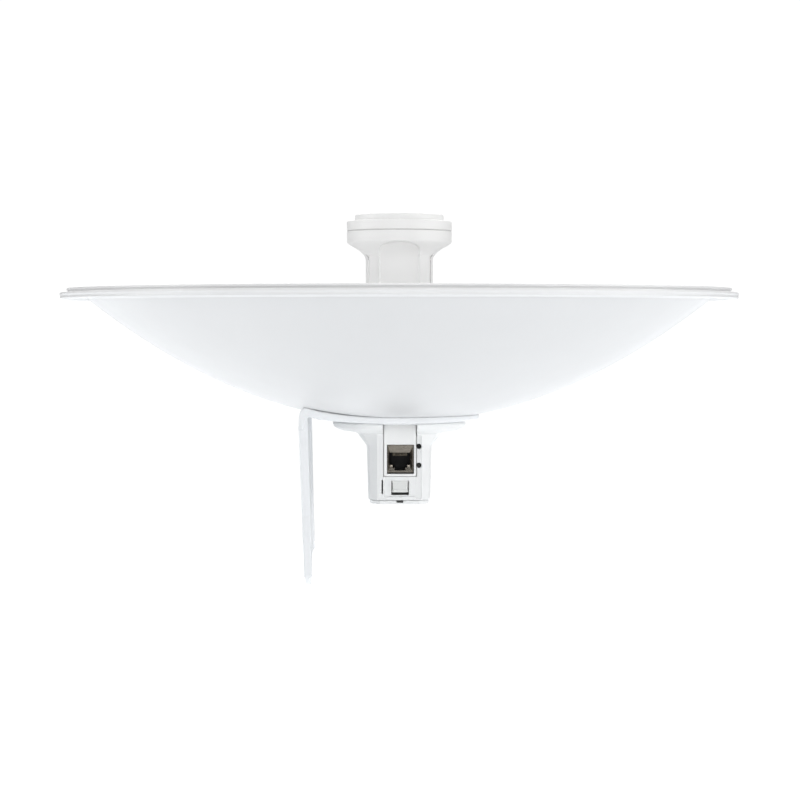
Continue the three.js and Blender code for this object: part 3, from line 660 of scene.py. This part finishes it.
# ---------------------------------------------------------------- rear housing
F = 13.8
barrel_outline = Outline(rounded([(-F, -19, 0.9), (F, -19, 0.9), (18.8, -14.6, 2.0), (20.3, -10.2, 2.5), (20.3, 10.2, 2.5), (18.8, 14.6, 2.0),
                                  (F, 19, 1.6), (-F, 19, 1.6), (-18.8, 14.6, 2.0), (-20.3, 10.2, 2.5), (-20.3, -10.2, 2.5), (-18.8, -14.6, 2.0)])[0])
cavity_outline = Outline(rounded([(-14.6, -16.7, 1.0), (14.6, -16.7, 1.0), (17, -12.6, 1.5), (17, 12.6, 1.5), (14.6, 16.7, 1.0), (-14.6, 16.7, 1.0), (-17, 12.6, 1.5), (-17, -12.6, 1.5)])[0])
collar_outline = Outline(rounded([(-2, -76.5), (35.6, -76.5), (41.0, -75.62, 0.3), (41.7, -76.9, 0.9), (40.6, -79.0, 1.2), (36.5, -81.0, 3.0), (25.6, -82.6, 6.0), (-2, -82.8)])[0],
                         (-1, 60, -130, -70), 0.1)
LEVELS = [-130, -123.8, -119, -106.4, -92.0, -90.1, -87.5, -82.5, -80, -70]
HALVES = [19.1, 19.2, 19.4, 19.7, 20.15, 20.45, 22.4, 26.1, 27.9, 27.9]


def housing_field(x, y, z):
    r = np.hypot(x, y)
    k = (np.interp(z, LEVELS, HALVES) - F) / (20.3 - F)
    ax = np.abs(x)
    sx = np.where(ax <= F, ax, F + (ax - F) / k)
    barrel = meet(barrel_outline(sx, y), slab(z, -123.8, -77.5), 0.35)
    d = union(barrel, collar_outline(r, z), 0.6)
    d = cut(d, cavity_outline(x, y), 0.3)
    d = cut(d, rbox(x, y, z, -10.05, 10.9, -50, -14, -109.2, -60, 0.25), 0.28)
    d = cut(d, rbox(x, y, z, -9.6, 10.5, -24, -18.4, -121.6, -109.2, 0.3), 0.25)
    d = cut(d, rbox(x, y, z, -4.9, 5.9, -24, -12, -120.6, -111.85, 0.3), 0.2)
    d = cut(d, rbox(x, y, z, -10.95, -10.1, -24, -15.0, -119.9, -111.3, 0.2), 0.12)
    d = cut(d, rbox(x, y, z, 10.0, 13.6, -24, -18.5, -122.8, -84.0, 0.25), 0.25)
    for hz in (-90.5, -102.2):
        d = cut(d, rod_y(x, y, z, 12.1, hz, 1.62, -25, -12), 0.12)
    for sx_, sy_ in SCREWS:
        d = cut(d, rod_z(x, y, z, sx_, sy_, 2.25, -81.1, -60), 0.2)
    return d


housing = solid("housing_shell", housing_field, (-42, -42, -124), (42, 42, -75.4), 0.45, HOUSING, 0.4)
piece(housing, "reflector", "housing_plastic", "rear_housing")


def cap_field(x, y, z):
    t = np.clip((z + 126.5) / 2.45, 0, 1)
    kx, ky = 0.885 + 0.026 * t, 0.95 + 0.016 * t
    flange = meet(barrel_outline(x / kx, y / ky) * 0.9, slab(z, -126.5, -124.05), 0.7)
    plug = meet(cavity_outline(x / 0.972, y / 0.972), slab(z, -124.6, -121.6), 0.3)
    d = union(flange, plug, 0.3)
    d = cut(d, meet(cavity_outline(x / 0.85, y / 0.85), -(z + 124.6)), 0.3)
    d = cut(d, rbox(x, y, z, -1.8, 2.5, -24, -11.0, -125.4, -124.3, 0.2), 0.1)
    return d


endcap = solid("housing_end_cap", cap_field, (-19, -19, -126.6), (19, 19, -121.5), 0.35, HOUSING, 0.4)
piece(endcap, "reflector", "housing_plastic", "end_cap")


def tab_field(x, y, z):
    body = rbox(x, y, z, -4.15, 5.15, -18.3, -16.75, -118.9, -112.35, 0.35)
    lip = rbox(x, y, z, -4.15, 5.15, -18.72, -17.6, -118.9, -117.7, 0.3)
    bead = meet(np.hypot(y + 17.6, z + 112.4) - 0.72, slab(x, -4.4, 5.4), 0.2)
    return union(union(body, lip, 0.5), bead, 0.3)


tab = solid("housing_release_tab", tab_field, (-4.5, -19, -119), (5.5, -16.6, -111.6), 0.2, TAB, 0.5)
piece(tab, "release_tab", "housing_plastic", "release_tab")

# ---------------------------------------------------------------- feed shells
tail_pts = rounded([(-14.2, -16.4, 1.2), (14.2, -16.4, 1.2), (16.2, -12.8, 1.5), (16.2, 12.8, 1.5), (14.2, 16.4, 1.2), (-14.2, 16.4, 1.2), (-16.2, 12.8, 1.5), (-16.2, -12.8, 1.5)])[0]
neck_raw = [(-12.6, -20, 0.7), (12.6, -20, 0.7), (18.3, -13.4, 1.2), (20.9, -8, 1.5), (20.9, 9, 3), (18.3, 14.4, 3), (12.6, 20, 3),
            (-12.6, 20, 3), (-18.3, 14.4, 3), (-20.9, 9, 3), (-20.9, -8, 1.5), (-18.3, -13.4, 1.2)]
tail_outline, neck_outline = Outline(tail_pts), Outline(rounded(neck_raw)[0])
flare_curve = spline([(20.2, 22.6), (20.35, 24.5), (21.15, 26.5), (22.7, 28.6), (24.2, 30.1), (25.8, 31.35), (27.9, 32.6), (29.9, 33.75), (31.6, 34.85), (32.5, 35.6)], 3)
flare_pts = [(-2, 20), (20.1, 20.0)] + [tuple(p) for p in flare_curve] + [tuple(p) for p in rounded([(32.75, 36.3, 0.0), (32.75, 42.9, 0.6), (-2, 42.9)], 3)[0][:0]] + [
    (32.75, 36.2), (32.75, 42.4), (32.6, 42.75), (32.25, 42.9), (-2, 42.9)]
flare_outline = Outline(flare_pts, (-1, 50, -115, 60), 0.1)
flange_outline = Outline(rounded([(-2, SEAT), (27.0, SEAT, 0.6), (27.0, SEAT + 2.2, 0.8), (24.5, SEAT + 3.2, 1.0), (-2, SEAT + 3.2)])[0], (-1, 50, -115, 60), 0.1)
door = Outline([(-12.1, SEAT + 5), (12.1, SEAT + 5), (12.1, 31.6), (11.9, 32.5), (11.3, 33.3), (10.2, 34.0), (8.2, 34.8), (6.2, 35.35), (4.2, 35.65), (2.1, 35.8), (0, 35.85),
                (-2.1, 35.8), (-4.2, 35.65), (-6.2, 35.35), (-8.2, 34.8), (-10.2, 34.0), (-11.3, 33.3), (-11.9, 32.5), (-12.1, 31.6)], (-36, 36, -115, 60), 0.15)
head_hollow = Outline([(-2, 37.6), (26, 37.6), (30.2, 39.4), (30.2, 60), (-2, 60)])


def feed_body(x, y, z):
    r = np.hypot(x, y)
    tail = meet(tail_outline(x, y), slab(z, -110.2, SEAT + 1), 0.5)
    tail = union(tail, rbox(x, y, z, -9.65, 10.4, -18.6, -14, -109.0, -75.4, 0.35), 0.3)
    neck = meet(neck_outline(x, y), slab(z, SEAT + 2, 37))
    d = union(tail, flange_outline(r, z), 0.6)
    d = union(d, neck, 1.2)
    d = union(d, flare_outline(r, z), 0.8)
    hollow = meet(tail_outline(x * 16.2 / 13.9, y * 16.4 / 14.1) * 0.86, slab(z, -108.0, -60.0))
    hollow = np.minimum(hollow, meet(neck_outline(x * 20.9 / 18.5, y * 20 / 17.6) * 0.88, slab(z, SEAT + 3.4, 38)))
    hollow = np.minimum(hollow, head_hollow(r, z))
    d = cut(d, hollow)
    d = cut(d, meet(door(x, z), y + 19.3, 0.8), 0.75)
    rib = meet(rbox(np.abs(x), y, z, 12.05, 13.15, -20.55, -17.5, SEAT + 6, 27.5, 0.45), -(y + 22))
    d = union(d, rib, 0.4)
    d = cut(d, rbox(x, y, z, -7.6, 9.0, -24, -12, -107.5, -89.5, 0.3), 0.3)
    for hz in (-90.5, -102.2):
        d = cut(d, rod_y(x, y, z, 12.1, hz, 1.56, -24, -8), 0.1)
    return d


def front_field(x, y, z):
    d = meet(feed_body(x, y, z), y + 6.12, 0.3)
    half = np.interp(z, [-80, 24.5, 26.5, 28.6, 30.1, 31.35, 32.6, 33.75, 34.85, 36], [20.9, 20.9, 21.15, 22.7, 24.2, 25.8, 27.9, 29.9, 31.6, 32.5])
    deep = -np.sqrt(half * half - (half - 1.95) ** 2) * np.where(z < 24.5, 1.27, np.interp(z, [24.5, 28], [1.27, 1.0])) + 0.45
    groove = np.maximum(np.maximum(np.abs(np.abs(x) - half + 1.95) - 0.38, y - deep), slab(z, SEAT + 3.2, 34.0))
    d = cut(d, groove, 0.2)
    for hz in (15, -62):
        d = union(d, rod_y(x, y, z, 0, hz, 3.4, -18.2, -1.0, 0.3), 0.6)
        d = cut(d, rod_y(x, y, z, 0, hz, 1.25, -12, 1), 0.1)
    return d


def rear_field(x, y, z):
    d = meet(feed_body(x, y, z), -(y + 5.88), 0.45)
    for hz in (15, -62):
        d = union(d, rod_y(x, y, z, 0, hz, 4.2, 2.2, 18.4, 0.3), 0.6)
        d = cut(d, rod_y(x, y, z, 0, hz, 1.75, 0, 25), 0.1)
        d = cut(d, rod_y(x, y, z, 0, hz, 3.3, 15.8, 30), 0.3)
    return d


shell_front = solid("feed_front_shell", front_field, (-33, -33, -110.4), (33, -0.8, 43), 0.5, FEED, 0.35)
piece(shell_front, "feed", "feed_plastic", "feed_shell_front")
shell_rear = solid("feed_rear_shell", rear_field, (-33, -6.1, -110.4), (33, 33, 43), 0.5, FEED, 0.35)
piece(shell_rear, "feed", "feed_plastic", "feed_shell_rear")

head_cap = turned("feed_head_cap", [
    (0, 52.0), (25.4, 52.0, 0.5), (25.6, 47.6, 0.8), (30.2, 47.0, 0.5), (30.2, 43.3, 0.2), (32.75, 43.3, 0.28), (32.75, 49.15, 0.85), (27.85, 49.25, 0.35),
    (27.65, 53.35, 1.5), (24.0, 53.62, 20.0), (12.0, 53.87), (0, 53.95)], 160, FEED, n=5)
piece(head_cap, "feed", "feed_plastic", "feed_cap")
seal = turned("head_seal_ring", [(30.4, 42.93, 0.1), (32.6, 42.93, 0.1), (32.6, 43.27, 0.1), (30.4, 43.27, 0.1)], 160, SEAL)
piece(seal, "feed", "seal_rubber", "cap_seal")
gasket = turned("hub_seal_ring", [(22.4, HUB_FRONT + 0.1, 0.3), (26.2, HUB_FRONT + 0.1, 0.3), (26.2, SEAT - 0.1, 0.4), (24.8, SEAT - 0.1, 0.2), (24.3, SEAT - 0.45, 0.2), (23.8, SEAT - 0.1, 0.2), (22.4, SEAT - 0.1, 0.3)], 120, RUBBER)
piece(gasket, "feed", "seal_rubber", "hub_gasket")


def shell_screw_field(x, y, z):   # z runs along the screw
    r = np.hypot(x, y)
    thread = 0.14 * np.abs(((z / 0.9 + np.arctan2(y, x) / (2 * math.pi)) % 1.0) - 0.5) * 2
    shank = meet(r - 1.1 + np.where(z < 12, thread, 0), slab(z, -9.6, 16.2), 0.2)
    shank = np.maximum(shank, r * 0.85 - (z + 10.2) * 0.5)
    dome = np.sqrt(r * r + (z - 13.9) ** 2) - 4.25
    head = meet(meet(r - 2.9, 15.9 - z, 0.2), dome, 0.4)
    d = union(shank, head)
    star = np.minimum(np.maximum(np.abs(x) - 1.5, np.abs(y) - 0.36), np.maximum(np.abs(y) - 1.5, np.abs(x) - 0.36))
    return cut(d, np.maximum(star, 16.7 - z), 0.1)


def along_y(f, cx, cz, cy):
    return lambda x, y, z: f(x - cx, cz - z, y - cy)


for i, hz in enumerate((15, -62)):
    ob = solid(f"shell_screw_steel_{i + 1}", along_y(shell_screw_field, 0, hz, 0.1), (-3, -9.9, hz - 3), (3, 18.4, hz + 3), 0.2, STEEL, 0.45)
    piece(ob, "feed", "steel", f"shell_screw_{i + 1}")

# ---------------------------------------------------------------- network socket
JX0, JX1, JZ0, JZ1 = -7.25, 8.65, -106.65, -89.85
CX0, CX1, CZ0, CZ1 = -5.66, 6.4, -102.2, -94.6
NX0, NX1, NZ = -2.9, 3.64, -105.3


def mouth(x, y, z, y0, y1, grow=0.0):
    wide = rbox(x, y, z, CX0 - grow, CX1 + grow, y0, y1, CZ0 - grow, CZ1 + grow, 0.15)
    mid = rbox(x, y, z, NX0 - 1.2 - grow, NX1 + 1.2 + grow, y0, y1, CZ0 - 1.5 - grow, CZ0 + 1, 0.15)
    slim = rbox(x, y, z, NX0 - grow, NX1 + grow, y0, y1, NZ - grow, CZ0 + 1, 0.15)
    return np.minimum(np.minimum(wide, mid), slim)


def jack_shell_field(x, y, z):
    d = rbox(x, y, z, JX0, JX1, -18.0, -2.2, JZ0, JZ1, 0.25)
    d = cut(d, rbox(x, y, z, JX0 + 0.45, JX1 - 0.45, -15.2, 0, JZ0 + 0.45, JZ1 - 0.45, 0.2), 0.1)
    depth = 2.6
    t = (y + 18.0) / depth           # 0 at the front edge, 1 at the throat
    fx0 = JX0 + 0.28 + (CX0 - JX0 - 0.28) * t
    fx1 = JX1 - 0.28 + (CX1 - JX1 + 0.28) * t
    fz1 = JZ1 - 0.28 + (CZ1 - JZ1 + 0.28) * t
    fz0 = JZ0 + 0.28 + (CZ0 - 1.0 - JZ0 - 0.28) * t
    funnel = np.maximum(np.maximum(fx0 - x, x - fx1) * 0.9, np.maximum((z - fz1) * 0.5, (fz0 - z) * 0.6))
    funnel = np.maximum(funnel, y + 18.0 - depth)
    d = cut(d, funnel, 0.12)
    return cut(d, mouth(x, y, z, -24, -14.6), 0.12)


def jack_insert_field(x, y, z):
    d = rbox(x, y, z, JX0 + 0.6, JX1 - 0.6, -15.0, -0.15, JZ0 + 0.6, JZ1 - 0.6, 0.2)
    d = cut(d, mouth(x, y, z, -24, -4.6, 0.05), 0.15)
    for i in range(8):
        cx = 0.37 + (i - 3.5) * 1.02
        d = cut(d, rbox(x, y, z, cx - 0.3, cx + 0.3, -14, -4.4, CZ1 - 0.5, CZ1 + 0.9, 0.08), 0.05)
    return d


def contacts_field(x, y, z):
    d = rbox(x, y, z, -4.2, 4.94, -5.8, -4.8, -97.2, -94.8, 0.12)
    for i in range(8):
        cx = 0.37 + (i - 3.5) * 1.02
        c, s = math.cos(0.2), math.sin(0.2)
        yy, zz = y + 5.0, z + 95.1
        u, v = yy * c + zz * s, -yy * s + zz * c
        d = union(d, rbox(x, u, v, cx - 0.22, cx + 0.22, -7.5, 0, -0.16, 0.16, 0.07), 0.1)
    return d


# painted shade: the socket shell takes the darkened nickel
jack = solid("socket_metal_shell", jack_shell_field, (JX0, -18, JZ0), (JX1, -2.2, JZ1), 0.2, NICKEL, 0.3)
piece(jack, "feed", "nickel", "socket_shell")
insert = solid("socket_black_insert", jack_insert_field, (JX0, -15, JZ0), (JX1, -0.1, JZ1), 0.2, BLACK, 0.3)
piece(insert, "feed", "black_plastic", "socket_insert")
# painted shade: the contact comb takes the near-black gold, darkened for the shade deep in the socket
combs = solid("socket_contact_comb", contacts_field, (-4.4, -12.6, -97.4), (5.2, -4.5, -93.2), 0.12, GOLD, 0.4)
piece(combs, "feed", "gold", "socket_contacts")

button = turned("reset_plunger", [(0, -18.0), (1.45, -18.0, 0.3), (1.45, -9.0, 0.1), (1.15, -8.8, 0.1), (1.15, -6.0, 0.1), (1.5, -5.9, 0.12), (1.5, -5.2, 0.15), (0, -5.2)], 40, GREY, (12.1, -90.5), axis="y")
piece(button, "reset_button", "grey_plastic", "reset_button")
pipe = turned("status_light_rod", [(0, -18.0), (1.45, -18.0, 0.35), (1.45, -9.0, 0.1), (1.15, -8.8, 0.1), (1.15, -2.1, 0.15), (0, -2.1)], 40, SMOKE, (12.1, -102.2), axis="y")
piece(pipe, "feed", "clear_plastic", "status_light_pipe")


# ---------------------------------------------------------------- CAD nodes that stay, with bevelled edges and better materials
def dress(node, material, bevel):
    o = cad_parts[node]
    if not o.material_slots:
        o.data.materials.append(material)
    for s in o.material_slots:
        s.material = material
    weld = o.modifiers.new("weld", "WELD")
    weld.merge_threshold = 2e-6
    b = o.modifiers.new("edges", "BEVEL")
    b.width, b.segments, b.limit_method, b.angle_limit = bevel / 1000, 2, "ANGLE", math.radians(30)
    b.harden_normals = True


for node, material, bevel in (("feed_latch", FEED, 0.3), ("sub_reflector", ALU, 0.1), ("radiator_board", BOARD, 0.1), ("radiator_patch", GOLD, 0.08),
                              ("radio_board", BOARD, 0.1), ("shield_can_front", TIN, 0.12), ("shield_can_rear", TIN, 0.12), ("line_transformer", BLACK, 0.3),
                              ("reset_switch", BLACK, 0.2), ("status_led", CLEAR, 0.15)):
    dress(node, material, bevel)

# ---------------------------------------------------------------- stage
def plane(name, size, z, material):
    v = [(-size, -size, z), (size, -size, z), (size, size, z), (-size, size, z)]
    me = bpy.data.meshes.new(name)
    me.from_pydata(v, [], [(0, 1, 2, 3)])
    ob = bpy.data.objects.new(name, me)
    bpy.context.scene.collection.objects.link(ob)
    me.materials.append(material)
    return ob


floor_mat = Nodes("floor").set(color=(0.88, 0.90, 0.915), rough=0.8, spec=0.0)
floor = plane("floor", 4.0, -0.42, floor_mat)


def area(name, loc, look, sx, sy, power, color=(1, 1, 1)):
    li = bpy.data.lights.new(name, "AREA")
    li.shape, li.size, li.size_y, li.energy, li.color = "RECTANGLE", sx, sy, power, color
    ob = bpy.data.objects.new(name, li)
    ob.location = loc
    ob.rotation_mode = "QUATERNION"
    ob.rotation_quaternion = (Vector(look) - Vector(loc)).to_track_quat("-Z", "Y")
    bpy.context.scene.collection.objects.link(ob)
    ob.visible_camera = False
    return ob


mid = Vector((SHIFT[0] / 1000, SHIFT[1] / 1000, 0.09))


def around(name, azimuth, distance, size, power):
    """A softbox level with the object, its azimuth counted from the camera's side, positive to the right."""
    a = math.radians(azimuth)
    return area(name, mid + Vector((math.sin(a), -math.cos(a), 0.0)) * distance, mid, size, size, power)


around("soft_front", 0, 2.2, 0.8, 7.0)
around("soft_right_front", 55, 2.2, 0.8, 6.8)
around("soft_right", 80, 2.2, 0.8, 4.4)
area("soft_upper_front", (mid.x + 0.2, -1.75, 1.35), (mid.x, 0.0, 0.12), 0.9, 0.9, 7.5)
around("soft_left", -80, 2.2, 0.8, 10.4)
area("soft_upper_left", mid + Vector((-1.16, -0.1, 0.75)), (mid.x, 0.0, 0.16), 0.5, 0.5, 0.9)
area("soft_upper_right", mid + Vector((1.16, -0.1, 0.75)), (mid.x, 0.0, 0.16), 0.5, 0.5, 1.4)
area("floor_wash", (mid.x, 3.0, 2.2), (mid.x, 3.0, -0.42), 3.6, 3.6, 142.0)
sky = bpy.data.lights.new("sky_panel", "SUN")
sky.energy, sky.angle = 0.85, math.radians(60)
sky_ob = bpy.data.objects.new("sky_panel", sky)
bpy.context.scene.collection.objects.link(sky_ob)

world = bpy.data.worlds.new("studio")
bpy.context.scene.world = world
world.use_nodes = True
wt = world.node_tree
wt.nodes.clear()
w_out = wt.nodes.new("ShaderNodeOutputWorld")
w_mix = wt.nodes.new("ShaderNodeMixShader")
w_lit = wt.nodes.new("ShaderNodeBackground")
w_seen = wt.nodes.new("ShaderNodeBackground")
w_lit.inputs[0].default_value, w_lit.inputs[1].default_value = (0.985, 0.99, 1.0, 1), 0.31
w_seen.inputs[0].default_value, w_seen.inputs[1].default_value = (1, 1, 1, 1), 1.06
wt.links.new(wt.nodes.new("ShaderNodeLightPath").outputs["Is Camera Ray"], w_mix.inputs[0])
wt.links.new(w_lit.outputs[0], w_mix.inputs[1])
wt.links.new(w_seen.outputs[0], w_mix.inputs[2])
wt.links.new(w_mix.outputs[0], w_out.inputs[0])
bpy.context.scene.view_settings.view_transform = "Standard"

cam_data = bpy.data.cameras.new("camera")
cam_data.sensor_width = 36.0
cam_data.lens = 2162.1 / 800 * 36.0
cam_data.clip_start, cam_data.clip_end = 0.05, 200
cam = bpy.data.objects.new("camera", cam_data)
cam.location = row((0.44, -1353.27, -13.32))
cam.rotation_euler = (math.pi / 2 - 0.0363, 0, 0)
bpy.context.scene.collection.objects.link(cam)
bpy.context.scene.camera = cam
